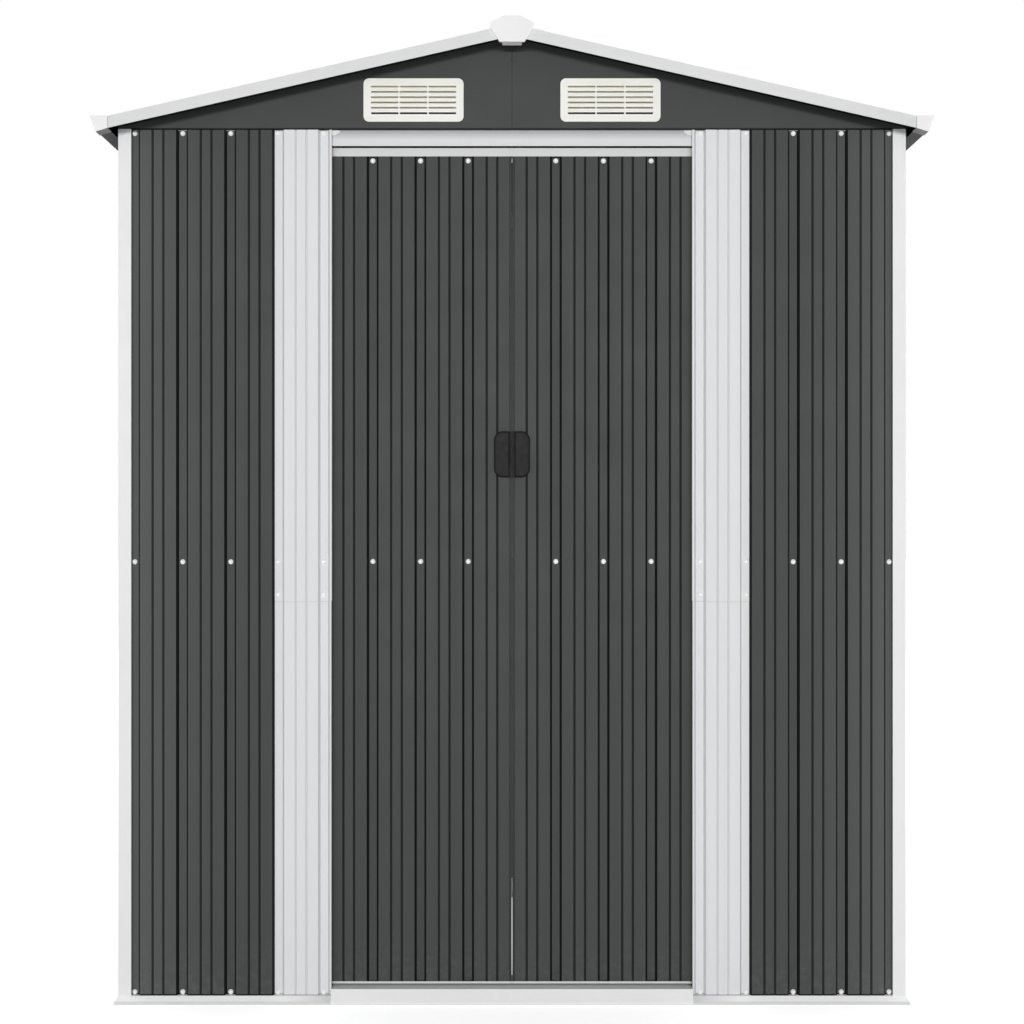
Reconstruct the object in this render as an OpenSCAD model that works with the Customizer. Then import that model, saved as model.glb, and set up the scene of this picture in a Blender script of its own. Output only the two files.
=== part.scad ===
// Metal storage shed: corrugated sheet walls on a folded steel frame, a low gable roof
// and two doors that slide apart behind the jamb sheets.
// Millimetres. +Z is up, the doors face -Y, and the origin is on the ground at the middle.

/* [Walls] */
// Width over the corner posts
wall_w = 1817; // [1700:1:2000]
// Depth over the corner posts
wall_d = 962; // [850:1:1300]
// Height of the wall sheets' top edge
wall_top = 2015; // [1850:1:2150]
// Thickness of the corrugated sheet
sheet_t = 1; // [0.8:0.1:1.4]
// Thickness of the folded frame steel
steel_t = 1.2; // [1:0.1:1.6]
// Leg of a corner post
post_leg = 30; // [26:1:36]

/* [Ribs] */
// Spacing of the channels in the sheet
rib_pitch = 111; // [106:1:114]
// Wall corner to the centre of the first channel
rib_edge = 36; // [32:1:42]
// Depth of a channel
rib_depth = 9; // [6:0.5:10]
// Width of a channel's floor
rib_floor = 17.6; // [12:0.2:20]
// Width of a channel's mouth
rib_mouth = 27.6; // [24:0.2:30]
// Spacing of the two grooves between channels
groove_gap = 24.7; // [20:0.1:30]
// Width of a groove
groove_w = 5.6; // [4:0.2:8]
// Depth of a groove
groove_depth = 2.4; // [1:0.1:3]

/* [Base] */
// Height of the shelf that carries the wall sheets
base_h = 17.2; // [14:0.1:22]
// Reach of the splayed apron in front of the wall
apron_out = 13; // [8:0.5:16]
// Reach of the base rail's lip at the sides
side_lip = 3.5; // [2:0.5:6]
// Height of the upright part of the apron
apron_foot = 6; // [3:0.5:10]
// Height of the base rail's inner web
base_web = 45; // [38:1:60]
// Depth of the ground flange, from the wall's outer face
flange_q = 62; // [58:1:80]
// Diameter of the anchor holes
anchor_d = 9; // [7:0.5:12]
// Distance of the anchor holes from the middle, across the front
anchor_x = 640; // [560:1:720]

/* [Door] */
// Width of the doorway
door_opening = 834; // [800:1:860]
// Height of the sill's top
sill_top = 33; // [28:1:36]
// Depth of the door sheet behind the wall's outer face
door_q = 24; // [24:0.5:27]
// Gap between the two doors
door_gap = 5; // [4:0.5:8]
// Reach of a closed door behind its jamb
door_lap = 25.5; // [20:0.5:40]
// Middle of the doorway to a door's first channel
door_rib = 102; // [98:1:106]
// Doorway edge to the centre of the jamb sheet's first channel
jamb_rib = 17; // [15:0.5:20]
// Spacing of the jamb sheet's two channels
jamb_span = 105.5; // [96:0.5:115]
// Room under the doors and between them and the header
door_room = 5; // [5:0.5:8]
// Running gap of the glides on their tracks
run_gap = 0.3; // [0.2:0.1:1]
// Height of the handles' centre
handle_z = 1267; // [1000:1:1400]
// Width of a handle
handle_w = 39; // [34:1:44]
// Height of a handle
handle_h = 107; // [90:1:130]
// Thickness of a handle
handle_rise = 9; // [7:0.5:10]
// Thickness of a handle in its finger groove
handle_plate = 3; // [2:0.5:5]
// Width of the finger groove along the door's edge
handle_grip = 5; // [4:0.5:10]
// Radius of a handle's outer corners
handle_r = 20; // [10:1:20]

/* [Roof] */
// Slope of the roof in degrees
roof_slope = 12.8; // [10:0.1:16]
// Height of a gable sheet at the wall corner
gable_edge = 4.2; // [3:0.1:20]
// Reach of the roof in front of the wall
roof_over = 59; // [45:1:80]
// Height of the trim along the sloping edges
trim_h = 27; // [24:0.5:34]
// Reach of the sloping trim past the wall
eave_over = 8; // [5:0.5:20]
// Width of the eave trim and its corner caps
eave_w = 40; // [34:1:50]
// Drop of the corner caps
eave_drop = 36.5; // [32:0.5:44]
// Half width of the raised ridge cap
ridge_half = 47; // [44:1:60]
// Height of the ridge cap's flat top over the slope line
ridge_up = 15; // [12:0.5:20]
// Half width of the ridge cap's flat top
ridge_flat = 16.5; // [14:0.5:24]
// Width of the ridge cap's wings on the roof sheets
ridge_wing = 25; // [20:1:30]
// Thickness of the ridge end caps' plates
ridge_plate = 6; // [4:0.5:8]
// Drop of the ridge end caps' upright sides
ridge_cheek = 9; // [6:0.5:12]
// Drop of the ridge end caps' lower tails
ridge_tail = 42; // [40:1:56]
// Room between the ridge end caps' plugs and the ridge cap
ridge_plug_gap = 4; // [3:0.5:6]
// Wall of the moulded caps
cap_t = 2; // [1.5:0.1:3]

/* [Vents] */
// Width of a vent plate
vent_w = 230.6; // [220:0.1:240]
// Height of a vent plate
vent_h = 99.6; // [92:0.1:104]
// Middle of the gable to a vent's centre
vent_x = 227; // [200:1:240]
// Gable's lower edge to a vent's centre
vent_up = 66; // [60:1:72]
// Rows of louvres
vent_rows = 6; // [4:1:6]
// Columns of louvres
vent_cols = 3; // [2:1:4]
// Spacing of the louvre rows
louvre_pitch = 12.2; // [11.5:0.1:12.5]
// Thickness of a vent plate
vent_t = 3; // [2:0.5:4]
// Plain border of a vent plate at its two ends
vent_end = 15; // [12:0.5:18]
// Plain border of a vent plate above and below the louvres
vent_edge = 11.5; // [10:0.5:12]
// Corner radius of a vent plate
vent_r = 12.7; // [8:0.1:16]

/* [Rails] */
// Height of the middle rails and their screws
mid_z = 1018; // [900:1:1100]
// Width of the middle rails' face
mid_h = 40; // [30:1:50]
// Depth of the middle rails in the walls
mid_d = 5; // [4:0.5:6]
// Height of the lap between lower and upper jamb sheets
jamb_lap_z = 928; // [850:1:960]
// Overlap of the jamb sheets
jamb_lap = 22; // [15:1:40]
// Height of the header's front face
header_h = 36.4; // [32:0.1:44]
// Depth of the header's back face behind the wall's outer face
header_q = 53.2; // [52:0.1:57]
// Depth of the side and rear top rails
top_rail_q = 41; // [34:1:50]

/* [Hidden] */
$fn = 48;

anthracite = "#4c4e4d";
white = "#dfe1e3";
cap_white = "#eeeeee";
galvanised = "#9a9d9f";
black = "#2e2e2e";

// Depths are measured inwards from the outer face of the posts.
pan_q = steel_t;
rail_q = pan_q + rib_depth + sheet_t;
half_w = wall_w / 2;
half_d = wall_d / 2;
corner_gap = rail_q + 1.8;

// Ribs of the walls, from the middle outwards. The jamb sheet laps the front sheet's last rib.
opening_half = door_opening / 2;
lap_rib = opening_half + jamb_rib + jamb_span;
jamb_ribs = [opening_half + jamb_rib, lap_rib];
front_span = half_w - rib_edge - lap_rib;
front_bays = max(1, round(front_span / rib_pitch));
front_ribs = [for (i = [0:front_bays]) lap_rib + i * front_span / front_bays];
side_ribs = even_ribs(wall_d);
rear_ribs = even_ribs(wall_w);
rear_last = len(rear_ribs) - 1;
rear_lap = floor(rear_last / 3);

// Heights at the top of the walls.
header_gap = 2;
frame_top = wall_top + header_gap;
header_bottom = frame_top - header_h;
lip_z = header_bottom + 9.4;
lip_q = header_q - 9.2;

// Doors: the steel channels wrap the sheet's top and bottom edges.
door_edge = door_gap / 2;
door_end = opening_half + door_lap;
door_bottom = sill_top + door_room;
door_top = header_bottom - header_gap;
door_back = door_q + rib_depth + sheet_t;
door_bays = floor((door_end - door_rib) / rib_pitch);
door_ribs = [for (i = [0:door_bays]) door_rib + i * rib_pitch];
door_line = concat(groove_pair(door_rib - rib_pitch, door_rib), ribs(door_ribs));
top_leg = 18;
bottom_leg = 3.6;
back_leg = 24;
stile_w = 20;
glide_w = 46;
glide_arm = 4;

// Lower track and sill.
sill_back = door_back + 11;
track_q = sill_back + 1;
track_top = door_bottom + 12;

// Roof planes: slope_z is the top of the sloping trim at a distance from the middle.
fall = tan(roof_slope);
seat_gap = 0.02;
roof_top = steel_t / cos(roof_slope) + seat_gap;
roof_deep = roof_top + (rib_depth + sheet_t) / cos(roof_slope);
ridge_z = frame_top + gable_edge + roof_deep + fall * half_w;
roof_half = half_d + roof_over;
trim_end = half_w + eave_over;
roof_end = trim_end - run_gap;
cap_front = 3;
cap_depth = 35;
gable_flange = 40;
trim_lap = 20;
purlin_x = half_w / 2;

// Vent opening in the gable sheets.
hole_w = vent_w - 2 * vent_end;
hole_h = vent_h - 2 * vent_edge;
vent_z = frame_top + vent_up;

function slope_z(x) = ridge_z - fall * abs(x);
function roof_under(x) = slope_z(x) - roof_deep;

// Sheet profile as points of distance along the wall and depth.
function valley(c) = [
    [c - rib_mouth / 2, 0], [c - rib_floor / 2, rib_depth],
    [c + rib_floor / 2, rib_depth], [c + rib_mouth / 2, 0]
];
function groove(c) = [[c - groove_w / 2, 0], [c, groove_depth], [c + groove_w / 2, 0]];
function groove_pair(a, b) = concat(
    groove((a + b - groove_gap) / 2), groove((a + b + groove_gap) / 2)
);
function ribs(c) = [
    for (i = [0:len(c) - 1])
        each concat(valley(c[i]), i < len(c) - 1 ? groove_pair(c[i], c[i + 1]) : [])
];
function even_ribs(span) =
    let (n = round((span - 2 * rib_edge) / rib_pitch))
    [for (i = [0:n]) rib_edge - span / 2 + i * (span - 2 * rib_edge) / n];
function part_of(list, first, last) = [for (i = [first:last]) list[i]];
function clipped(line, u0, u1) = concat(
    [[u0, lookup(u0, line)]],
    [for (p = line) if (p.x > u0 && p.x < u1) p],
    [[u1, lookup(u1, line)]]
);

// Folded strip: the outline of a bent sheet to the left of a line of points.
function left_of(v) = [-v.y, v.x] / norm(v);
function fold(p, i, t) =
    let (
        a = left_of(i > 0 ? p[i] - p[i - 1] : p[1] - p[0]),
        b = left_of(i < len(p) - 1 ? p[i + 1] - p[i] : p[i] - p[i - 1])
    )
    p[i] + t * (a + b) / (1 + a * b);
module strip(p, t) {
    polygon(concat(p, [for (i = [len(p) - 1:-1:0]) fold(p, i, t)]));
}

// Corrugated sheet in plan, from u0 to u1, with its outer pans at depth q.
module sheet(line, u0, u1, q) {
    path = clipped(line, u0, u1);
    back = [for (i = [len(path) - 1:-1:0]) path[i]];
    polygon(concat(
        [for (p = path) [p.x, p.y + q]],
        [for (p = back) [p.x, p.y + q + sheet_t]]
    ));
}
module upright(z0, z1) {
    translate([0, 0, z0]) linear_extrude(z1 - z0) children();
}

// Section of depth and height, run along a wall.
module run(u0, u1) {
    translate([u0, 0, 0]) rotate([90, 0, 90]) linear_extrude(u1 - u0) children();
}

// Elevation drawn on a wall, from depth q outwards by t.
module facing(q, t) {
    translate([0, q, 0]) rotate([90, 0, 0]) linear_extrude(t) children();
}

// Places of the four walls: depth grows inwards from the outer face of the posts.
module on_front() { translate([0, -half_d, 0]) children(); }
module on_rear() { translate([0, half_d, 0]) rotate(180) children(); }
module on_right() { translate([half_w, 0, 0]) rotate(90) children(); }
module on_left() { translate([-half_w, 0, 0]) rotate(-90) children(); }
module flip(side) {
    if (side < 0) mirror([1, 0, 0]) children();
    else children();
}
module both() {
    for (side = [-1, 1]) flip(side) children();
}
module rounded(w, h, r) {
    square([w - 2 * r, h], center = true);
    square([w, h - 2 * r], center = true);
    for (x = [-1, 1], y = [-1, 1]) translate([x * (w / 2 - r), y * (h / 2 - r)]) circle(r);
}

// Base frame
module base_apron(out) {
    strip([[-out, 0], [-out, apron_foot], [0, base_h], [rail_q + steel_t, base_h]], -steel_t);
}
module base_web_section() {
    translate([rail_q, 0]) square([steel_t, base_web]);
}
module base_flange_section() {
    translate([rail_q, 0]) square([flange_q - rail_q, steel_t]);
}
module base_rail_long() {
    end = half_w + 2 * side_lip;
    web_end = half_w - rail_q;
    flange_end = web_end - steel_t;
    difference() {
        union() {
            run(-end, end) base_apron(apron_out);
            run(-web_end, web_end) base_web_section();
            run(-flange_end, flange_end) base_flange_section();
        }
        // The apron's ends slant in to the posts.
        both() facing(2 * flange_q, 3 * flange_q) polygon([
            [end, apron_foot], [half_w, base_h], [half_w, base_web], [end + side_lip, base_web]
        ]);
        both() translate([anchor_x, (rail_q + flange_q) / 2, -steel_t])
            cylinder(d = anchor_d, h = 3 * steel_t);
    }
}
module base_rail_front() {
    web_cut = base_web - sill_top + 2 * steel_t;
    color(white) on_front() difference() {
        base_rail_long();
        translate([-door_end, rail_q - steel_t, sill_top - 2 * steel_t])
            cube([2 * door_end, 3 * steel_t, web_cut + steel_t]);
    }
}
module base_rail_rear() { color(white) on_rear() base_rail_long(); }
module base_rail_side() {
    reach = half_d - rail_q - steel_t;
    run(-reach, reach) {
        base_apron(side_lip);
        base_web_section();
    }
    run(flange_q - half_d, half_d - flange_q) base_flange_section();
}
module base_rail_left() { color(white) on_left() base_rail_side(); }
module base_rail_right() { color(white) on_right() base_rail_side(); }

// Sill: covers the apron at the doorway and folds down behind to the ground flange.
module door_sill() {
    nose = apron_out + steel_t + run_gap;
    color(white) on_front() {
        run(-opening_half + run_gap, opening_half - run_gap) strip([
            [-nose, steel_t], [-nose, apron_foot + steel_t], [-steel_t, sill_top],
            [sill_back, sill_top], [sill_back, steel_t]
        ], -steel_t);
    }
}
module lower_track() {
    reach = half_w - flange_q;
    color(galvanised) on_front() run(-reach, reach) strip([
        [track_q, track_top], [track_q, steel_t], [flange_q, steel_t]
    ], steel_t);
}

// Corner posts
module corner_post() {
    upright(base_h, frame_top) strip([[0, post_leg], [0, 0], [post_leg, 0]], steel_t);
}
module post_at(x, y) {
    color(white) translate([x * half_w, y * half_d, 0])
        mirror([x > 0 ? 1 : 0, 0, 0]) mirror([0, y > 0 ? 1 : 0, 0]) corner_post();
}
module corner_post_front_left() { post_at(-1, -1); }
module corner_post_front_right() { post_at(1, -1); }
module corner_post_rear_left() { post_at(-1, 1); }
module corner_post_rear_right() { post_at(1, 1); }

// Wall sheets
module front_panel(side) {
    color(anthracite) flip(side) on_front() upright(base_h, wall_top)
        sheet(ribs(front_ribs), lap_rib - rib_floor / 2, half_w - corner_gap, pan_q);
}
module front_panel_left() { front_panel(-1); }
module front_panel_right() { front_panel(1); }
module jamb_sheet(edge, q) {
    sheet(ribs(jamb_ribs), edge, lap_rib + rib_mouth / 2, q);
    translate([edge, q]) square([sheet_t, rib_depth + sheet_t]);
}
module jamb_panels_lower() {
    color(white) both() on_front() upright(base_h, jamb_lap_z + jamb_lap)
        jamb_sheet(opening_half, pan_q - sheet_t);
}
module jamb_panels_upper() {
    color(white) both() on_front() upright(jamb_lap_z, wall_top)
        jamb_sheet(opening_half - sheet_t, pan_q - 2 * sheet_t);
}
module side_wall() {
    reach = half_d - corner_gap;
    color(anthracite) upright(base_h, wall_top) sheet(ribs(side_ribs), -reach, reach, pan_q);
}
module side_wall_left() { on_left() side_wall(); }
module side_wall_right() { on_right() side_wall(); }
module rear_panel_side(side) {
    outer = part_of(rear_ribs, rear_last - rear_lap, rear_last);
    color(anthracite) flip(side) on_rear() mirror([1, 0, 0]) upright(base_h, wall_top)
        sheet(ribs(outer), outer[0] - rib_floor / 2, half_w - corner_gap, pan_q);
}
module rear_panel_left() { rear_panel_side(-1); }
module rear_panel_right() { rear_panel_side(1); }
module rear_panel_centre() {
    middle = part_of(rear_ribs, rear_lap, rear_last - rear_lap);
    reach = rear_ribs[rear_last - rear_lap] + rib_mouth / 2;
    color(anthracite) on_rear() upright(base_h, wall_top)
        sheet(ribs(middle), -reach, reach, pan_q - sheet_t);
}

// Upper frame
module front_header() {
    reach = half_w - rail_q;
    color(white) on_front() run(-reach, reach) strip([
        [rail_q, header_bottom], [rail_q, frame_top], [header_q, frame_top],
        [header_q, lip_z], [lip_q, lip_z]
    ], -steel_t);
}
module side_top_rail() {
    depth_z = function (q) roof_under(half_w - q);
    run(top_rail_q - half_d, half_d - header_q) strip([
        [rail_q, header_bottom], [rail_q, depth_z(rail_q)], [top_rail_q, depth_z(top_rail_q)]
    ], -steel_t);
}
module top_rails() {
    reach = half_w - top_rail_q - door_room;
    color(galvanised) {
        both() on_left() side_top_rail();
        on_rear() run(-reach, reach) strip([
            [rail_q, header_bottom], [rail_q, frame_top], [top_rail_q, frame_top]
        ], -steel_t);
    }
}
module mid_rail_section() {
    hat = mid_h / 4;
    strip([
        [rail_q, mid_z - mid_h / 2], [rail_q, mid_z - hat], [rail_q + mid_d, mid_z - hat + mid_d / 2],
        [rail_q + mid_d, mid_z + hat - mid_d / 2], [rail_q, mid_z + hat], [rail_q, mid_z + mid_h / 2]
    ], -steel_t);
}
module mid_rails() {
    side_reach = half_d - 2 * rail_q - mid_d;
    color(galvanised) {
        both() on_front() run(opening_half + jamb_rib, half_w - 2 * rail_q) mid_rail_section();
        both() on_left() run(-side_reach, side_reach) mid_rail_section();
        on_rear() run(2 * rail_q - half_w, half_w - 2 * rail_q) mid_rail_section();
    }
}

// Gables
module gable_band(x0, x1, drop, t) {
    polygon([
        [x0, slope_z(x0) - drop], [x1, slope_z(x1) - drop],
        [x1, slope_z(x1) - drop - t], [x0, slope_z(x0) - drop - t]
    ]);
}
module gable_half() {
    seam = 0.5;
    facing(steel_t, steel_t) difference() {
        polygon([
            [seam, frame_top], [half_w, frame_top],
            [half_w, roof_under(half_w)], [seam, roof_under(seam)]
        ]);
        translate([vent_x, vent_z]) square([hole_w, hole_h], center = true);
    }
    facing(gable_flange, gable_flange) gable_band(seam, half_w, roof_deep, steel_t);
    translate([seam, 0, frame_top]) cube([half_w - seam, gable_flange, steel_t]);
}
module gable_front_left() { color(anthracite) flip(-1) on_front() gable_half(); }
module gable_front_right() { color(anthracite) on_front() gable_half(); }
module gable_rear_left() { color(anthracite) on_rear() gable_half(); }
module gable_rear_right() { color(anthracite) flip(-1) on_rear() gable_half(); }

// Louvred vent: a plate over the gable sheet, with a collar and sloping blades in its hole.
module vent() {
    inner_w = hole_w - 2 * run_gap;
    inner_h = hole_h - 2 * run_gap;
    bar = 3.5;
    slot_h = 4.4;
    rise = 7.5;
    slot_w = (inner_w - 2 * cap_t - (vent_cols - 1) * bar) / vent_cols;
    collar = 11;
    top_row = (vent_rows - 1) / 2;
    translate([vent_x, 0, vent_z]) {
        facing(0, vent_t) difference() {
            rounded(vent_w, vent_h, vent_r);
            for (row = [-top_row:top_row], col = [0:vent_cols - 1]) {
                translate([
                    (col - (vent_cols - 1) / 2) * (slot_w + bar), row * louvre_pitch
                ]) square([slot_w, slot_h], center = true);
            }
        }
        facing(collar, collar) difference() {
            square([inner_w, inner_h], center = true);
            square([inner_w - 2 * cap_t, inner_h - 2 * cap_t], center = true);
        }
        for (row = [1 - top_row:top_row]) {
            foot = row * louvre_pitch - slot_h / 2;
            run(-inner_w / 2 + cap_t, inner_w / 2 - cap_t) polygon([
                [-vent_t / 2, foot - cap_t], [-vent_t / 2, foot],
                [collar - 1, foot + rise], [collar - 1, foot + rise - cap_t]
            ]);
        }
    }
}
module gable_vents() {
    color(cap_white) {
        both() on_front() vent();
        both() on_rear() vent();
    }
}

// Roof
module roof_panel(side) {
    count = round(2 * (roof_half - rib_edge) / rib_pitch);
    reach = roof_half - steel_t;
    roof_ribs = [for (i = [0:count]) (i - count / 2) * rib_pitch];
    start = 2 * (rib_depth + sheet_t) * fall;
    color(anthracite) flip(side) translate([0, 0, ridge_z - roof_top]) rotate([0, roof_slope, 0])
        rotate([-90, 0, -90]) translate([0, 0, start])
            linear_extrude(roof_end / cos(roof_slope) - start)
                sheet(ribs(roof_ribs), -reach, reach, 0);
}
module roof_panel_left() { roof_panel(-1); }
module roof_panel_right() { roof_panel(1); }
module along_roof(reach) {
    rotate([90, 0, 0]) translate([0, 0, -reach]) linear_extrude(2 * reach) children();
}
module ridge_beam() {
    w = 24;
    h = 45;
    top = steel_t;
    color(galvanised) along_roof(half_d - steel_t) strip([
        [-w, roof_under(w) - top - h], [-w, roof_under(w) - top], [0, roof_under(0) - top],
        [w, roof_under(w) - top], [w, roof_under(w) - top - h]
    ], -steel_t);
}
module purlins() {
    w = 40;
    h = 30;
    color(galvanised) both() along_roof(half_d - steel_t)
        translate([purlin_x, roof_under(purlin_x) - steel_t]) rotate(-roof_slope) strip([
            [w / 2, -h], [-w / 2, -h], [-w / 2, 0], [w / 2, 0]
        ], -steel_t);
}
module ridge_cap() {
    wing = ridge_half + ridge_wing;
    flat = ridge_flat;
    side_z = ridge_z - steel_t;
    top_z = ridge_z + ridge_up;
    color(anthracite) along_roof(roof_half) strip([
        [-wing, slope_z(wing)], [-ridge_half, slope_z(ridge_half)], [-ridge_half, side_z],
        [-flat, top_z], [flat, top_z], [ridge_half, side_z],
        [ridge_half, slope_z(ridge_half)], [wing, slope_z(wing)]
    ], steel_t);
}
module ridge_end_cap() {
    half = ridge_half + 2 * steel_t;
    flat = ridge_flat + steel_t;
    top = ridge_up + 2 * steel_t;
    plug = ridge_half - ridge_plug_gap;
    plug_flat = ridge_flat - ridge_plug_gap;
    chin = 0.57 * half;
    lip = 0.45 * half;
    under = -trim_h - run_gap;
    translate([0, -roof_half, ridge_z]) {
        facing(0, ridge_plate) polygon([
            [-flat, top], [flat, top], [half, steel_t], [half, -ridge_cheek],
            [chin, -ridge_tail], [-chin, -ridge_tail], [-half, -ridge_cheek], [-half, steel_t]
        ]);
        facing(trim_lap, trim_lap) polygon([
            [-lip, -ridge_tail], [lip, -ridge_tail], [lip, under - fall * lip], [0, under],
            [-lip, under - fall * lip]
        ]);
        facing(trim_lap, trim_lap) polygon([
            [-plug, 0], [plug, 0], [plug_flat, ridge_up - steel_t], [-plug_flat, ridge_up - steel_t]
        ]);
    }
}
module ridge_end_caps() {
    color(cap_white) {
        ridge_end_cap();
        rotate(180) ridge_end_cap();
    }
}
module gable_trim() {
    gap = 0.25;
    translate([0, -roof_half, 0]) {
        facing(steel_t, steel_t) gable_band(gap, trim_end, 0, trim_h);
        facing(trim_lap, trim_lap) gable_band(gap, trim_end, 0, steel_t);
    }
}
module gable_trims() {
    color(white) {
        both() gable_trim();
        rotate(180) both() gable_trim();
    }
}
function eave_line(inset) =
    let (z = slope_z(trim_end))
    [
        [trim_end, z], [trim_end + eave_w - inset, z],
        [trim_end + 0.66 * eave_w - inset, z - eave_drop + inset], [trim_end, z - 0.78 * eave_drop]
    ];
module eave_trims() {
    hem = 30;
    color(anthracite) both() along_roof(roof_half - cap_depth + cap_front)
        strip(concat([[trim_end - hem, slope_z(trim_end - hem)]], eave_line(1.5)), -steel_t);
}
module eave_corner_cap() {
    outline = eave_line(0);
    translate([0, -roof_half, 0]) {
        facing(cap_t - cap_front, cap_t) polygon(outline);
        facing(cap_depth - cap_front, cap_depth) strip(outline, -cap_t);
    }
}
module eave_corner_caps() {
    color(cap_white) {
        both() eave_corner_cap();
        rotate(180) both() eave_corner_cap();
    }
}

// Doors, drawn as the right one
module door_panel() {
    on_front() upright(door_bottom + steel_t, door_top - steel_t)
        sheet(door_line, door_edge, door_end, door_q);
}
module door_rails() {
    inner_top = door_top - steel_t;
    inner_bottom = door_bottom + steel_t;
    stile_end = back_leg + 2 * steel_t;
    on_front() {
        run(door_edge, door_end) strip([
            [door_q, inner_top - top_leg], [door_q, inner_top],
            [door_back, inner_top], [door_back, inner_top - back_leg]
        ], steel_t);
        run(door_edge, door_end) strip([
            [door_back, inner_bottom + back_leg], [door_back, inner_bottom],
            [door_q, inner_bottom], [door_q, inner_bottom + bottom_leg]
        ], steel_t);
        run(door_edge + 2 * door_room, door_end) strip([
            [door_back + 2 * mid_d, mid_z - mid_h / 2], [door_back, mid_z - mid_h / 2],
            [door_back, mid_z + mid_h / 2], [door_back + 2 * mid_d, mid_z + mid_h / 2]
        ], -steel_t);
        upright(inner_bottom + stile_end, inner_top - stile_end) strip([
            [door_edge + stile_w, door_q + sheet_t], [door_edge, door_q + sheet_t],
            [door_edge, door_back]
        ], -steel_t);
    }
}
module door_handle() {
    on_front() translate([door_edge, 0, handle_z]) {
        facing(door_q, handle_plate) handle_face();
        facing(door_q, handle_rise) difference() {
            handle_face();
            square([2 * handle_grip, 2 * handle_h], center = true);
        }
    }
}
module handle_face() {
    straight = handle_w - handle_r;
    translate([0, -handle_h / 2]) square([straight, handle_h]);
    translate([0, handle_r - handle_h / 2]) square([handle_w, handle_h - 2 * handle_r]);
    for (end = [-1, 1]) translate([straight, end * (handle_h / 2 - handle_r)]) circle(handle_r);
}
module door_glides() {
    hook_z = lip_z + steel_t + run_gap;
    seat = door_back + steel_t;
    foot = track_top + run_gap;
    rail_top = door_top - steel_t - back_leg;
    near = track_q - run_gap;
    far = track_q + steel_t + run_gap;
    for (x = [door_edge + glide_w, door_end - 2 * glide_w]) on_front() {
        run(x, x + glide_w) polygon([
            [seat, rail_top], [seat + glide_arm, rail_top], [seat + glide_arm, hook_z],
            [header_q - 2 * steel_t, hook_z], [header_q - 2 * steel_t, hook_z + glide_arm],
            [seat, hook_z + glide_arm]
        ]);
        run(x, x + glide_w) polygon([
            [seat, door_bottom], [near, door_bottom], [near, foot], [far, foot],
            [far, door_bottom], [far + glide_arm, door_bottom],
            [far + glide_arm, foot + glide_arm], [seat, foot + glide_arm]
        ]);
    }
}
module left_door_panel() { color(anthracite) flip(-1) door_panel(); }
module right_door_panel() { color(anthracite) door_panel(); }
module left_door_rails() { color(white) flip(-1) door_rails(); }
module right_door_rails() { color(white) door_rails(); }
module left_door_handle() { color(black) flip(-1) door_handle(); }
module right_door_handle() { color(black) door_handle(); }
module left_door_glides() { color(black) flip(-1) door_glides(); }
module right_door_glides() { color(black) door_glides(); }

base_rail_front();
base_rail_rear();
base_rail_left();
base_rail_right();
door_sill();
lower_track();
corner_post_front_left();
corner_post_front_right();
corner_post_rear_left();
corner_post_rear_right();
front_panel_left();
front_panel_right();
jamb_panels_lower();
jamb_panels_upper();
side_wall_left();
side_wall_right();
rear_panel_left();
rear_panel_centre();
rear_panel_right();
front_header();
top_rails();
mid_rails();
gable_front_left();
gable_front_right();
gable_rear_left();
gable_rear_right();
gable_vents();
roof_panel_left();
roof_panel_right();
ridge_beam();
purlins();
ridge_cap();
ridge_end_caps();
gable_trims();
eave_trims();
eave_corner_caps();
left_door_panel();
left_door_rails();
left_door_handle();
left_door_glides();
right_door_panel();
right_door_rails();
right_door_handle();
right_door_glides();
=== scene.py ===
"""Looks of the metal storage shed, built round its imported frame. Metres, +Z up, doors towards -Y."""
import math

import bmesh
import bpy
from mathutils import Matrix, Vector


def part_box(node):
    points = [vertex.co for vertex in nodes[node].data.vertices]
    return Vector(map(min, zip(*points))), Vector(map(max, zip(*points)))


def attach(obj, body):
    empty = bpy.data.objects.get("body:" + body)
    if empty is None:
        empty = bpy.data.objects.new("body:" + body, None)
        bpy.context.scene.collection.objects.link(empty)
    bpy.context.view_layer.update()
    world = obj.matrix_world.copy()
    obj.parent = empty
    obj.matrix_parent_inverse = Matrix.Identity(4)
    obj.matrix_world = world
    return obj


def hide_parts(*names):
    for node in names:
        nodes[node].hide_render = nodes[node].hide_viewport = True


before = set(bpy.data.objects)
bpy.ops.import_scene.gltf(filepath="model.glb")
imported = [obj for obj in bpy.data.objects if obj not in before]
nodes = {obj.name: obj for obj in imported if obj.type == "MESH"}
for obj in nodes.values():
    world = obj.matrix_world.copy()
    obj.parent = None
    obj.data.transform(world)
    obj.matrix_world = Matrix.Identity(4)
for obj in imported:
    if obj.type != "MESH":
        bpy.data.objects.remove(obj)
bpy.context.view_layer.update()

# Camera, from the photograph's vanishing point and the depth seen between the doors.
CAMERA_AT = (0.0, -3.766, 1.1332)
CAMERA_LENS = 50.06
SENSOR_W = 36.0

# Light: name, place, aim, size and watts of each lamp, the world's level, and the floor's own brightness.
LAMPS = (
    ("front_soft", (0, -20, 3.0), (0, 0, 1.2), (12.6, 1.8), 2360),
    ("back_soft", (1.5, 7.0, 3.4), (0, 0, 1.1), (5.0, 2.5), 270),
    ("left_soft", (-7.0, 0.5, 3.0), (0, 0, 1.1), (4.0, 3.0), 190),
    ("right_soft", (7.0, 0.5, 3.0), (0, 0, 1.1), (4.0, 3.0), 190),
)
INSIDE_LAMP = ("inside_fill", (0, -0.3, 1.15), (0, 1, 1.15), (1.2, 1.8), 8)
WORLD_LEVEL = 0.27
FLOOR_SIZE = 60
FLOOR_TONE = (0.9, 0.9, 0.9, 1.0)
FLOOR_LIFT = 0.57
LIFT_FROM, LIFT_TO = 1.5, 7.0

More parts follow.
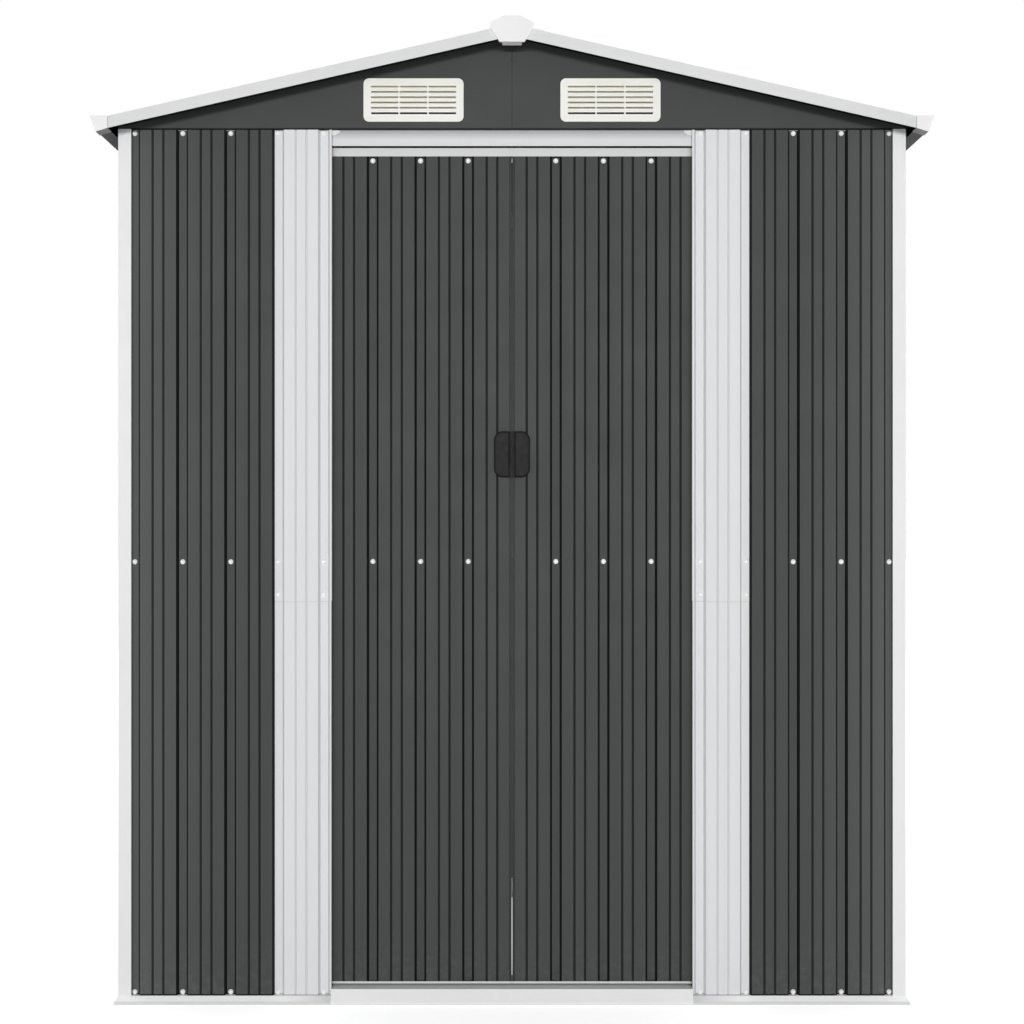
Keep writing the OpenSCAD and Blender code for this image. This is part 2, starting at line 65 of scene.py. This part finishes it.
# Places on the solids that tones are laid by.
FOOT_Z = 0.0172
LAP_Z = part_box("jamb_panels_upper")[0][2]
JAMB_EDGE_X = 0.5484
GRIP_FACE_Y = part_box("right_door_handle")[0][1]
RIDGE_END_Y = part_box("ridge_cap")[1][1]
GABLE_FOOT_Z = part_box("gable_front_left")[0][2]
VENT_FACE_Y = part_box("gable_vents")[1][1]
HEADER_FRONT_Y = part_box("front_header")[0][1]
HEADER_TOP_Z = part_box("front_header")[1][2]

# Axes, the range that noise is stretched from, and the facing at which a fold counts as shallow or steep for its
# painted shade.
X, Y, Z = 0, 1, 2
NOISE_LOW, NOISE_HIGH = 0.3, 0.7
SHALLOW = (0.95, 0.85)
STEEP = (0.68, 0.58)
GROOVE_SHADE = 0.72
LOOKS_DOWN = (-0.2, -0.5)

# Scale of the rolling streaks for sheets that face along x, along y and upwards.
STREAKS = {X: (0.5, 60.0, 0.35), Y: (60.0, 0.5, 0.35), Z: (0.35, 60.0, 0.35)}


# Materials
def srgb(r, g, b):
    """Linear colour with alpha from 8-bit display values."""
    def linear(v):
        v /= 255
        return v / 12.92 if v <= 0.04045 else ((v + 0.055) / 1.055) ** 2.4
    return (linear(r), linear(g), linear(b), 1.0)


def scaled(colour, factor):
    """The colour made lighter or darker."""
    return tuple(min(1.0, c * factor) for c in colour[:3]) + (1.0,)


class Graph:
    """Short calls for making the nodes of a material or of the world."""

    def __init__(self, owner, shader="Principled BSDF"):
        owner.use_nodes = True
        self.owner = owner
        self.tree = owner.node_tree
        self.shader = self.tree.nodes[shader]

    def put(self, value, socket):
        """Links the socket to another one, or sets a plain value on it."""
        if isinstance(value, bpy.types.NodeSocket):
            self.tree.links.new(value, socket)
        else:
            socket.default_value = value

    def add(self, kind, inputs=None, **settings):
        made = self.tree.nodes.new(kind)
        for key, value in settings.items():
            setattr(made, key, value)
        for key, value in (inputs or {}).items():
            self.put(value, made.inputs[key])
        return made

    def set(self, **inputs):
        """Puts values on the shader's inputs, with _ for a space in their names."""
        for key, value in inputs.items():
            self.put(value, self.shader.inputs[key.replace("_", " ")])

    def coords(self):
        return self.add("ShaderNodeTexCoord").outputs["Object"]

    def place(self, axis):
        """Place in the object along an axis."""
        return self.add("ShaderNodeSeparateXYZ", {0: self.coords()}).outputs[axis]

    def distance(self, axis):
        """Distance from the middle along an axis."""
        return self.maths("ABSOLUTE", self.place(axis), 0.0)

    def facing(self, axis):
        """How far the face looks along an axis."""
        normal = self.add("ShaderNodeNewGeometry").outputs["True Normal"]
        return self.add("ShaderNodeSeparateXYZ", {0: normal}).outputs[axis]

    def noise(self, vector, scale, detail, rough=0.5):
        inputs = {"Vector": vector, "Scale": scale, "Detail": detail, "Roughness": rough}
        return self.add("ShaderNodeTexNoise", inputs).outputs["Fac"]

    def grain(self, scale, detail):
        return self.noise(self.coords(), scale, detail)

    def cloud(self, scale, detail, low=0.0, high=1.0):
        """Noise spread over the whole range from low to high."""
        return self.spread(self.grain(scale, detail), NOISE_LOW, NOISE_HIGH, low, high)

    def spread(self, value, low, high, to_low=0.0, to_high=1.0):
        inputs = {"Value": value, "From Min": low, "From Max": high, "To Min": to_low, "To Max": to_high}
        return self.add("ShaderNodeMapRange", inputs).outputs["Result"]

    def maths(self, kind, a, b):
        return self.add("ShaderNodeMath", {0: a, 1: b}, operation=kind).outputs[0]

    def blend(self, factor, a, b):
        return self.add("ShaderNodeMix", {0: factor, 6: a, 7: b}, data_type="RGBA").outputs[2]

    def bump(self, height, strength, distance):
        inputs = {"Height": height, "Strength": strength, "Distance": distance}
        return self.add("ShaderNodeBump", inputs).outputs["Normal"]

    def seen(self):
        """1 for what the camera sees directly, in gloss or through glass."""
        path = self.add("ShaderNodeLightPath").outputs
        indirect = self.maths("MAXIMUM", path["Is Glossy Ray"], path["Is Transmission Ray"])
        return self.maths("MAXIMUM", path["Is Camera Ray"], indirect)


def material_graph(name):
    return Graph(bpy.data.materials.new(name))


def fold_shade_mask(g, axis):
    """Share of painted shade by facing: 0 on faces along the wall's own plane, GROOVE_SHADE on shallow grooves, 1 on
    the steep rib walls.
    """
    facing = g.maths("ABSOLUTE", g.facing(axis), 0.0)
    shallow = g.spread(facing, *SHALLOW, 0.0, GROOVE_SHADE)
    steep = g.spread(facing, *STEEP, 0.0, 1.0 - GROOVE_SHADE)
    return g.maths("ADD", shallow, steep)


def underside(g):
    """1 on faces that look down, 0 on all others."""
    return g.spread(g.facing(Z), *LOOKS_DOWN)


def tinted(g, colour, tints):
    """Lays tints of (axis, none at, full at, tone) over the colour, by the distance from the middle along the axis."""
    for axis, none, full, tone in tints:
        colour = g.blend(g.spread(g.distance(axis), none, full), colour, tone)
    return colour


def dusted(g, colour, tone, low, high, share, scale):
    """Specks of dust over the colour, fewer and fewer from the low to the high level."""
    specks = g.spread(g.noise(g.coords(), scale, 5.0, 0.7), 0.45, 0.8)
    amount = g.maths("MULTIPLY", g.spread(g.place(Z), high, low, 0.0, share), specks)
    return g.blend(amount, colour, tone)


def coil_coated(name, base, dark, axis, rough, streak=0.06, foot_shadow_tone=None, lap=None, tints=(), painted_sheen=None):
    """Painted corrugated sheet: orange-peel coat, faint rolling streaks and dust near the ground, with painted shade
    in its folds and painted shadow lines at its foot and under a lap. A painted sheen of (tones, none at, full at)
    lightens it outwards along x. A roof sheet gets painted shade on its faces that look down."""
    g = material_graph(name)
    mottle = g.cloud(2.2, 4.0)
    stretched = g.add("ShaderNodeMapping", {"Vector": g.coords(), "Scale": STREAKS[axis]}).outputs["Vector"]
    rolling = g.spread(g.noise(stretched, 1.0, 2.0), NOISE_LOW, NOISE_HIGH)
    colour = g.blend(g.maths("MULTIPLY", mottle, rolling), scaled(base, 1 - streak), scaled(base, 1 + streak))
    # Painted sheen: lighter outwards along x.
    if painted_sheen:
        tones, none, full = painted_sheen
        outwards = g.maths("POWER", g.spread(g.distance(X), none, full), 2.0)
        colour = g.blend(outwards, colour, g.blend(mottle, *tones))
    colour = dusted(g, colour, SHEET_DUST, 0.01, 0.16, 0.12, 55.0)
    # Painted shade in the folds, by how far each face turns from the wall's plane.
    colour = g.blend(fold_shade_mask(g, axis), colour, dark)
    height = g.place(Z)
    # Painted shadow line along the sheet's foot.
    colour = g.blend(g.spread(height, FOOT_Z + 0.0042, FOOT_Z + 0.0028), colour, foot_shadow_tone or dark)
    # Painted shadow line under the lap.
    if lap:
        below = g.spread(height, lap, lap - 0.0005)
        line = g.maths("MULTIPLY", below, g.spread(height, lap - 0.004, lap - 0.0025))
        colour = g.blend(line, colour, dark)
    # Painted shade on a roof sheet's faces that look down.
    if axis == Z:
        colour = g.blend(underside(g), colour, dark)
    g.set(Base_Color=tinted(g, colour, tints), Roughness=g.cloud(9.0, 4.0, rough - 0.05, rough + 0.07))
    g.set(Specular_IOR_Level=0.08, Normal=g.bump(g.grain(420.0, 2.0), 0.06, 0.0004))
    return g.owner


def painted(name, base, rough, gloss=0.2, under=None, tints=()):
    """Smooth painted steel: even coat with slight mottling, orange peel and dust near the ground. It may have painted
    shade on faces that look down, and tints by place, some of them painted shade."""
    g = material_graph(name)
    coat = g.blend(g.cloud(3.0, 4.0), scaled(base, 0.96), base)
    colour = dusted(g, coat, PAINT_DUST, 0.0, 0.1, 0.08, 70.0)
    # Painted shade on faces that look down.
    if under:
        colour = g.blend(underside(g), colour, under)
    g.set(Base_Color=tinted(g, colour, tints), Roughness=g.cloud(11.0, 3.0, rough - 0.05, rough + 0.06))
    g.set(Specular_IOR_Level=gloss, Normal=g.bump(g.grain(380.0, 2.0), 0.05, 0.0004))
    return g.owner


def galvanised(name):
    """Zinc coating with its spangle of dull crystal patches."""
    g = material_graph(name)
    cells = g.add("ShaderNodeTexVoronoi", {"Vector": g.coords(), "Scale": 95.0, "Randomness": 1.0})
    tone = g.add("ShaderNodeSeparateColor", {0: cells.outputs["Color"]}).outputs[0]
    patch = g.maths("MULTIPLY", tone, g.cloud(6.0, 4.0))
    g.set(Base_Color=g.blend(patch, srgb(140, 143, 146), srgb(182, 185, 188)))
    g.set(Metallic=0.85, Roughness=g.spread(tone, 0.0, 1.0, 0.38, 0.56))
    g.set(Normal=g.bump(g.maths("ADD", tone, g.grain(240.0, 2.0)), 0.08, 0.0003))
    return g.owner


def moulded(name, base, rough, texture, strength, under=None, tints=()):
    """Moulded plastic with a fine spark-eroded texture and slight tone changes. It may have painted light on faces
    that look down, a highlight or shade by the tone given, and tints by place."""
    g = material_graph(name)
    colour = g.blend(g.cloud(14.0, 4.0), scaled(base, 0.94), base)
    # Painted light on faces that look down, lighter or darker by the tone given.
    if under:
        colour = g.blend(underside(g), colour, under)
    g.set(Base_Color=tinted(g, colour, tints), Roughness=g.cloud(40.0, 3.0, rough - 0.05, rough + 0.06))
    g.set(Specular_IOR_Level=0.4, Normal=g.bump(g.grain(texture, 3.0), strength, 0.0003))
    return g.owner


def grip(name, base, groove_shade_tone):
    """Black moulded handle, with painted shade in the finger groove and on the rim, by the depth behind its face."""
    g = material_graph(name)
    # Painted shade deeper than the grip's face.
    groove = g.spread(g.place(Y), GRIP_FACE_Y + 0.0012, GRIP_FACE_Y + 0.003)
    g.set(Base_Color=g.blend(groove, g.blend(g.cloud(30.0, 4.0), base, scaled(base, 1.12)), groove_shade_tone))
    g.set(Specular_IOR_Level=0.1, Roughness=g.cloud(60.0, 3.0, 0.44, 0.56))
    g.set(Normal=g.bump(g.grain(700.0, 2.0), 0.12, 0.0003))
    return g.owner


SHEET_DUST = srgb(170, 166, 158)
PAINT_DUST = srgb(186, 182, 172)
ANTHRACITE = srgb(69, 72, 71)
ANTHRACITE_PLAIN = srgb(66, 69, 68)
ANTHRACITE_UNDER_SHADE = srgb(48, 50, 49)
# Painted sheen tones for the front panels' outer parts.
OUTER_SHEEN_TONES = (srgb(85, 88, 87), srgb(88, 91, 90))
# Painted shade tone of the dark sheets' folds, foot lines and undersides.
FOLD_SHADE = srgb(22, 24, 23)
WHITE_SHEET = srgb(218, 220, 222)
# Painted shade tones of the white sheets' folds and lap line, and their painted shadow line at the foot.
WHITE_FOLD_SHADE = srgb(206, 208, 210)
WHITE_FOOT_SHADOW = srgb(176, 178, 180)

dark_front = coil_coated("anthracite_front", ANTHRACITE, FOLD_SHADE, Y, 0.5)
# Front panels with a painted sheen towards their outer corners.
dark_outer = coil_coated("anthracite_front_sheen", ANTHRACITE, FOLD_SHADE, Y, 0.5, painted_sheen=(OUTER_SHEEN_TONES, 0.6, 0.9))
dark_side = coil_coated("anthracite_side", ANTHRACITE, FOLD_SHADE, X, 0.5)
dark_roof = coil_coated("anthracite_roof", ANTHRACITE, FOLD_SHADE, Z, 0.5)
# Painted shade on faces that look down.
dark_plain = painted("anthracite_plain", ANTHRACITE_PLAIN, 0.5, 0.1, ANTHRACITE_UNDER_SHADE)
dark_ridge = painted("anthracite_ridge", ANTHRACITE_PLAIN, 0.5, 0.1, ANTHRACITE_UNDER_SHADE,
                     ((Y, RIDGE_END_Y - 0.0006, RIDGE_END_Y - 0.0002, srgb(222, 223, 223)),))
# Painted shadow line along the gable's foot.
dark_gable = painted("anthracite_gable", ANTHRACITE_PLAIN, 0.5, 0.1, None,
                     ((Z, GABLE_FOOT_Z + 0.0028, GABLE_FOOT_Z + 0.0012, FOLD_SHADE),))
# The white sheets' outermost wall takes the dark sheets' fold-shade tone.
jamb_edge = ((X, JAMB_EDGE_X, JAMB_EDGE_X + 0.0004, FOLD_SHADE),)
# White sheets: painted shade in their folds and a painted shadow line at the foot; the lower one also under the lap.
white_upper = coil_coated("white_sheet_upper", WHITE_SHEET, WHITE_FOLD_SHADE, Y, 0.48, 0.02, WHITE_FOOT_SHADOW, None, jamb_edge)
white_lower = coil_coated("white_sheet_lower", WHITE_SHEET, WHITE_FOLD_SHADE, Y, 0.48, 0.02, WHITE_FOOT_SHADOW, LAP_Z, jamb_edge)
white_trim = painted("white_trim", srgb(227, 228, 229), 0.42)
verge_paint = painted("verge_paint", srgb(213, 215, 215), 0.42)
sill_paint = painted("sill_paint", srgb(235, 236, 235), 0.42)
# Painted shade under the gable: the header darkens towards its top.
header_paint = painted("header_paint", srgb(213, 214, 215), 0.42,
                       tints=((Z, HEADER_TOP_Z - 0.022, HEADER_TOP_Z - 0.001, srgb(161, 163, 167)),))
rail_paint = painted("rail_paint", srgb(207, 207, 207), 0.45)
# Painted shade along the lower edge. The rail also darkens towards its inner ends.
base_paint = painted("base_paint", srgb(252, 252, 252), 0.42,
                     tints=((X, 0.53, 0.43, srgb(219, 220, 220)), (Z, 0.0085, 0.0055, srgb(212, 213, 213))))
zinc = galvanised("galvanised_zinc")
# Painted highlight on the caps' faces that look down.
ridge_plastic = moulded("ridge_cap_plastic", srgb(229, 229, 229), 0.42, 300.0, 0.05, srgb(255, 253, 246))
# Painted shade on the caps' faces that look down.
eave_plastic = moulded("eave_cap_plastic", srgb(231, 231, 231), 0.42, 300.0, 0.05, srgb(70, 72, 71))
vent_plastic = moulded("vent_plastic", srgb(233, 232, 226), 0.5, 300.0, 0.06, None,
                       ((Y, VENT_FACE_Y - 0.0015, VENT_FACE_Y - 0.003, srgb(240, 235, 212)),))
handle_plastic = grip("handle_plastic", srgb(23, 23, 23), srgb(3, 3, 3))
glide_plastic = moulded("glide_plastic", srgb(44, 44, 44), 0.5, 260.0, 0.2)
# Near black: painted shade seen through the gable seams.
strip_paint = painted("strip_paint", srgb(26, 27, 27), 0.55)
guard_paint = painted("guard_paint", srgb(29, 30, 30), 0.55, tints=((X, 0.0027, 0.0023, srgb(66, 68, 68)),))
screw_paint = painted("screw_paint", srgb(246, 246, 245), 0.35)

FINISH = {
    "front_panel": dark_outer, "left_door_panel": dark_front, "right_door_panel": dark_front,
    "rear_panel": dark_front, "side_wall": dark_side, "roof_panel": dark_roof,
    "gable_front": dark_gable, "gable_rear": dark_gable, "ridge_cap": dark_ridge, "eave_trims": dark_plain,
    "jamb_panels_upper": white_upper, "jamb_panels_lower": white_lower, "gable_vents": vent_plastic,
    "ridge_end_caps": ridge_plastic, "eave_corner_caps": eave_plastic,
    "left_door_handle": handle_plastic, "right_door_handle": handle_plastic,
    "left_door_glides": glide_plastic, "right_door_glides": glide_plastic,
    "front_header": header_paint, "left_door_rails": rail_paint, "right_door_rails": rail_paint,
    "base_rail": base_paint, "gable_trims": verge_paint, "door_sill": sill_paint,
    "lower_track": zinc, "top_rails": zinc, "mid_rails": zinc, "ridge_beam": zinc, "purlins": zinc,
}


def finish_of(node):
    """The material whose key the node's name starts with, or the white trim paint."""
    for key, material in FINISH.items():
        if node.startswith(key):
            return material
    return white_trim


for name, obj in nodes.items():
    material = finish_of(name)
    for slot in obj.material_slots:
        slot.material = material


# Pieces
def linked(name, body, mesh, material):
    """The mesh as a piece of the scene, riding on a body."""
    data = bpy.data.meshes.new(name)
    mesh.to_mesh(data)
    mesh.free()
    piece = bpy.data.objects.new(name, data)
    bpy.context.scene.collection.objects.link(piece)
    data.materials.append(material)
    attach(piece, body)
    return piece


def lofted(name, body, solids, material):
    """A piece of closed solids, each through two or more loops of points."""
    mesh = bmesh.new()
    for solid in solids:
        loops = [[mesh.verts.new(at) for at in loop] for loop in solid]
        mesh.faces.new(loops[0])
        mesh.faces.new(list(reversed(loops[-1])))
        for low, high in zip(loops, loops[1:]):
            for i in range(len(low)):
                j = (i + 1) % len(low)
                mesh.faces.new((low[i], high[i], high[j], low[j]))
    bmesh.ops.recalc_face_normals(mesh, faces=mesh.faces)
    return linked(name, body, mesh, material)


def folded(name, body, outlines, material):
    """A piece of prisms. Each is an outline of (x, z) points, the two y levels and the scale of its front."""
    solids = []
    for outline, y0, y1, scale in outlines:
        cx = sum(p[0] for p in outline) / len(outline)
        cz = sum(p[1] for p in outline) / len(outline)
        solids.append(([(cx + (x - cx) * scale, y0, cz + (z - cz) * scale) for x, z in outline],
                       [(x, y1, z) for x, z in outline]))
    lofted(name, body, solids, material)


# Screws: a washer, a domed flange and a low hexagonal head, as rings of (radius, height).
SCREW_R = 0.0059
SCREW_H = 0.0046
SCREW_SIDES = 20
SCREW_RINGS = ((1.0, 0.0), (1.0, 0.22), (0.93, 0.34), (0.66, 0.40), (0.62, 0.92), (0.5, 1.0))


def add_screw(mesh, place):
    """One screw with its head along the place's +Z axis."""
    loops = []
    for radius, height in SCREW_RINGS:
        loop = []
        for i in range(SCREW_SIDES):
            turn = 2 * math.pi * i / SCREW_SIDES
            at = Vector((math.cos(turn), math.sin(turn), 0)) * radius * SCREW_R
            at.z = height * SCREW_H
            loop.append(mesh.verts.new(place @ at))
        loops.append(loop)
    for low, high in zip(loops, loops[1:]):
        for i in range(SCREW_SIDES):
            j = (i + 1) % SCREW_SIDES
            mesh.faces.new((low[i], low[j], high[j], high[i]))
    mesh.faces.new(loops[-1])
    mesh.faces.new(list(reversed(loops[0])))


def screws(name, body, places):
    """A piece of screws at (point, outward normal) pairs, riding on a body."""
    mesh = bmesh.new()
    for at, normal in places:
        outwards = Vector((0, 0, 1)).rotation_difference(Vector(normal)).to_matrix().to_4x4()
        add_screw(mesh, Matrix.Translation(at) @ outwards)
    piece = linked(name, body, mesh, screw_paint)
    for face in piece.data.polygons:
        face.use_smooth = len(face.vertices) == 4


# Screw rows by height, the depth of the channel floors behind the wall's face, and the channels' places.
HALF_W = 0.9085
HALF_D = 0.481
ROW_LOW = 0.0232
ROW_LAP = 0.9425
ROW_MID = 1.018
ROW_TOP = 2.0090
DOOR_ROW_TOP = 1.9512
ROWS = (ROW_LOW, ROW_MID, ROW_TOP)
DARK_FLOOR = 0.0102
JAMB_LOW_FLOOR = 0.0092
JAMB_UP_FLOOR = 0.0082
DOOR_FLOOR = 0.033
FRONT_RIBS = (0.8725, 0.7615, 0.6505)
JAMB_RIBS = (0.5415, 0.4355)
DOOR_RIBS = (0.102, 0.213, 0.324)
SIDE_RIBS = [-0.445 + 0.11125 * i for i in range(0, 9, 2)]
REAR_RIBS = [-0.8725 + 0.109063 * i for i in range(0, 17, 2)]


def front_places(side, ribs, floor, rows):
    """Places for screws in the front's channels on one side."""
    return [((side * x, floor - HALF_D, z), (0, -1, 0)) for x in ribs for z in rows]


front = []
flanks = []
for side in (-1, 1):
    front += front_places(side, FRONT_RIBS, DARK_FLOOR, ROWS)
    front += front_places(side, JAMB_RIBS, JAMB_LOW_FLOOR, (ROW_LOW,))
    front += front_places(side, JAMB_RIBS, JAMB_UP_FLOOR, (ROW_LAP, ROW_MID, ROW_TOP))
    flanks += [((side * (HALF_W - DARK_FLOOR), y, z), (side, 0, 0)) for y in SIDE_RIBS for z in ROWS]
screws("front_screws", "shed", front)
screws("side_screws", "shed", flanks)
screws("rear_screws", "shed", [((x, HALF_D - DARK_FLOOR, z), (0, 1, 0)) for x in REAR_RIBS for z in ROWS])
for body, side in (("left_door", -1), ("right_door", 1)):
    screws(body + "_screws", body, front_places(side, DOOR_RIBS, DOOR_FLOOR, (ROW_MID, DOOR_ROW_TOP)))

# Roof screws in the channel floors: along the ridge, the purlin and the eave of each slope.
ROOF_SLOPE = math.radians(12.8)
ROOF_ROWS = (0.105, 0.454, 0.87)
ROOF_PITCH = 0.111
ROOF_COUNT = 10
RIB_DEPTH = 0.009
RIDGE_TOP = 2.23785
roof = []
for side in (-1, 1):
    up = Vector((side * math.sin(ROOF_SLOPE), 0, math.cos(ROOF_SLOPE)))
    for x in ROOF_ROWS:
        crest = Vector((side * x, 0, RIDGE_TOP - math.tan(ROOF_SLOPE) * x))
        for i in range(ROOF_COUNT):
            along = Vector((0, (i - (ROOF_COUNT - 1) / 2) * ROOF_PITCH, 0))
            roof.append((crest + along - up * RIB_DEPTH, up))
screws("roof_screws", "shed", roof)

# Tabs at the header's ends.
TAB_OUTLINE = ((0.4163, 2.0163), (0.4163, 2.0048), (0.4105, 2.0052), (0.3985, 2.0118), (0.3985, 2.0163))
TAB_T = 0.0014
TAB_FRONT = 0.97
tabs = [([(side * x, z) for x, z in TAB_OUTLINE], HEADER_FRONT_Y - TAB_T, HEADER_FRONT_Y, TAB_FRONT)
        for side in (-1, 1)]
folded("header_tabs", "shed", tabs, white_trim)

# Joint strips behind the gable seams: a web and two flanges.
GABLE_IN = 0.4797
STRIP_LOW, STRIP_HIGH = 2.0186, 2.174
STRIP_HALF = 0.019
STRIP_T = 0.0012
STRIP_DEPTH = 0.008
STRIP_PARTS = (
    (-STRIP_HALF, STRIP_HALF, STRIP_T),
    (-STRIP_HALF, STRIP_T - STRIP_HALF, STRIP_DEPTH),
    (STRIP_HALF - STRIP_T, STRIP_HALF, STRIP_DEPTH),
)
strips = []
for side in (-1, 1):
    for x0, x1, depth in STRIP_PARTS:
        face = [(x0, STRIP_LOW), (x1, STRIP_LOW), (x1, STRIP_HIGH), (x0, STRIP_HIGH)]
        strips.append((face, side * (GABLE_IN - depth), side * GABLE_IN, 1.0))
folded("gable_joint_strips", "shed", strips, strip_paint)

# Edge guards on the doors' meeting edges: a rounded nose in the gap and a thin leg on the sheet's face, which is left
# out behind the handle. Rail ends close the gap at the top and bottom channels.
GUARD_NOSE = 0.0017
GUARD_LEG = 0.0041
GUARD_T = 0.0006
GUARD_DEPTH = 0.010
GUARD_R = 0.0012
RAIL_END_X = 0.0003
RAIL_END_CUT = 0.0006
TOP_RAIL_H = 0.0192
BOTTOM_RAIL_H = 0.0048
RAIL_CLEAR = 0.0004
ARC_STEPS = 8


def arc(centre, radius, start, end):
    """Points from one angle to another, in degrees."""
    turns = [math.radians(start + (end - start) * i / ARC_STEPS) for i in range(ARC_STEPS + 1)]
    return [(centre[0] + radius * math.cos(t), centre[1] + radius * math.sin(t)) for t in turns]


def guard_outline(edge, sheet_y, leg):
    """Cross-section (x, y) of an edge guard, with or without its leg."""
    face = sheet_y - GUARD_T if leg else sheet_y
    nose = edge - GUARD_NOSE
    outline = [(edge, sheet_y + GUARD_DEPTH), (edge, sheet_y)]
    if leg:
        outline += [(edge + GUARD_LEG, sheet_y), (edge + GUARD_LEG, face)]
    return outline + arc((nose + GUARD_R, face + GUARD_R), GUARD_R, 270, 180) + [(nose, sheet_y + GUARD_DEPTH)]


def door_edge(body, side):
    """Edge guard and rail ends of one door."""
    low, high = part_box(body + "_panel")
    edge = min(abs(low[0]), abs(high[0]))
    rail_low, rail_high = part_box(body + "_rails")
    grip_low, grip_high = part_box(body + "_handle")
    bottom = rail_low[2] + BOTTOM_RAIL_H
    top = rail_high[2] - TOP_RAIL_H
    levels = (bottom + RAIL_CLEAR, grip_low[2], grip_high[2], top - RAIL_CLEAR)
    lengths = []
    for z0, z1, leg in zip(levels, levels[1:], (True, False, True)):
        outline = guard_outline(edge, low[1], leg)
        lengths.append([[(side * x, y, z) for x, y in outline] for z in (z0, z1)])
    lofted(body + "_edge_guard", body, lengths, guard_paint)
    ends = []
    for z0, z1 in ((rail_low[2], bottom), (top, rail_high[2])):
        corners = ((edge, z0), (RAIL_END_X + RAIL_END_CUT, z0), (RAIL_END_X, z0 + RAIL_END_CUT),
                   (RAIL_END_X, z1 - RAIL_END_CUT), (RAIL_END_X + RAIL_END_CUT, z1), (edge, z1))
        ends.append(([(side * x, z) for x, z in corners], rail_low[1], high[1], 1.0))
    folded(body + "_rail_ends", body, ends, rail_paint)


# Grips: a D-shaped handle with a bevelled rim, as levels of (rise, inset), and a thin plate along its finger groove.
GRIP_LEVELS = ((0.0, 0.0), (0.0060, 0.0), (0.0078, 0.0014), (0.0087, 0.0032), (0.0090, 0.0050))
GRIP_R = 0.020
GROOVE_W = 0.0050
PLATE_T = 0.0030


def door_grip(body, side):
    """Grip of one door, in the place of its plain handle solid."""
    low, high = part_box(body + "_handle")
    inner, outer = sorted((abs(low[0]), abs(high[0])))
    middle = (low[2] + high[2]) / 2
    handle = []
    for rise, inset in GRIP_LEVELS:
        half = (high[2] - low[2]) / 2 - inset
        radius = GRIP_R - inset
        start = inner + GROOVE_W + inset / 2
        turn = outer - inset - radius
        outline = [(start, -half)] + arc((turn, radius - half), radius, -90, 0)
        outline += arc((turn, half - radius), radius, 0, 90) + [(start, half)]
        handle.append([(side * x, high[1] - rise, middle + z) for x, z in outline])
    corners = ((inner, low[2]), (inner + GROOVE_W, low[2]), (inner + GROOVE_W, high[2]), (inner, high[2]))
    plate = [[(side * x, high[1] - rise, z) for x, z in corners] for rise in (0.0, PLATE_T)]
    piece = lofted(body + "_grip", body, (handle, plate), handle_plastic)
    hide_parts(body + "_handle")


for body, side in (("left_door", -1), ("right_door", 1)):
    door_edge(body, side)
    door_grip(body, side)


# Stage
def add_floor():
    """Pale floor that fades to white with the distance and keeps the shadow near the shed."""
    bpy.ops.mesh.primitive_plane_add(size=FLOOR_SIZE)
    floor = bpy.context.object
    floor.name = "studio_floor"
    g = material_graph("studio_floor")
    g.set(Base_Color=FLOOR_TONE, Roughness=0.9)
    reach = g.add("ShaderNodeVectorMath", {0: g.coords()}, operation="LENGTH").outputs["Value"]
    lift = g.spread(reach, LIFT_FROM, LIFT_TO, FLOOR_LIFT, 1.0)
    glow = g.add("ShaderNodeEmission", {"Strength": g.maths("MULTIPLY", g.seen(), lift)})
    both = g.add("ShaderNodeAddShader", {0: g.shader.outputs[0], 1: glow.outputs[0]})
    g.put(both.outputs[0], g.tree.nodes["Material Output"].inputs["Surface"])
    floor.data.materials.append(g.owner)


def add_world():
    """White to the eye, and a soft even light on the shed."""
    world = bpy.data.worlds.new("studio")
    bpy.context.scene.world = world
    g = Graph(world, "Background")
    g.set(Color=(1, 1, 1, 1), Strength=g.spread(g.seen(), 0.0, 1.0, WORLD_LEVEL, 1.0))


def add_lamp(name, at, aim, size, power):
    """Soft rectangular lamp that points at its aim."""
    lamp = bpy.data.lights.new(name, "AREA")
    lamp.shape = "RECTANGLE"
    lamp.size, lamp.size_y = size
    lamp.energy = power
    obj = bpy.data.objects.new(name, lamp)
    obj.location = at
    obj.rotation_euler = (Vector(aim) - Vector(at)).to_track_quat("-Z", "Y").to_euler()
    bpy.context.scene.collection.objects.link(obj)
    return obj


def add_camera():
    """Level camera in front of the middle."""
    camera = bpy.data.cameras.new("camera")
    camera.lens = CAMERA_LENS
    camera.sensor_width = SENSOR_W
    obj = bpy.data.objects.new("camera", camera)
    obj.location = CAMERA_AT
    obj.rotation_euler = (math.pi / 2, 0, 0)
    bpy.context.scene.collection.objects.link(obj)
    bpy.context.scene.camera = obj


add_floor()
add_world()
for lamp in LAMPS:
    add_lamp(*lamp)
inside = add_lamp(*INSIDE_LAMP)
inside.visible_camera = False
inside.visible_glossy = False
add_camera()
bpy.context.scene.view_settings.view_transform = "Standard"
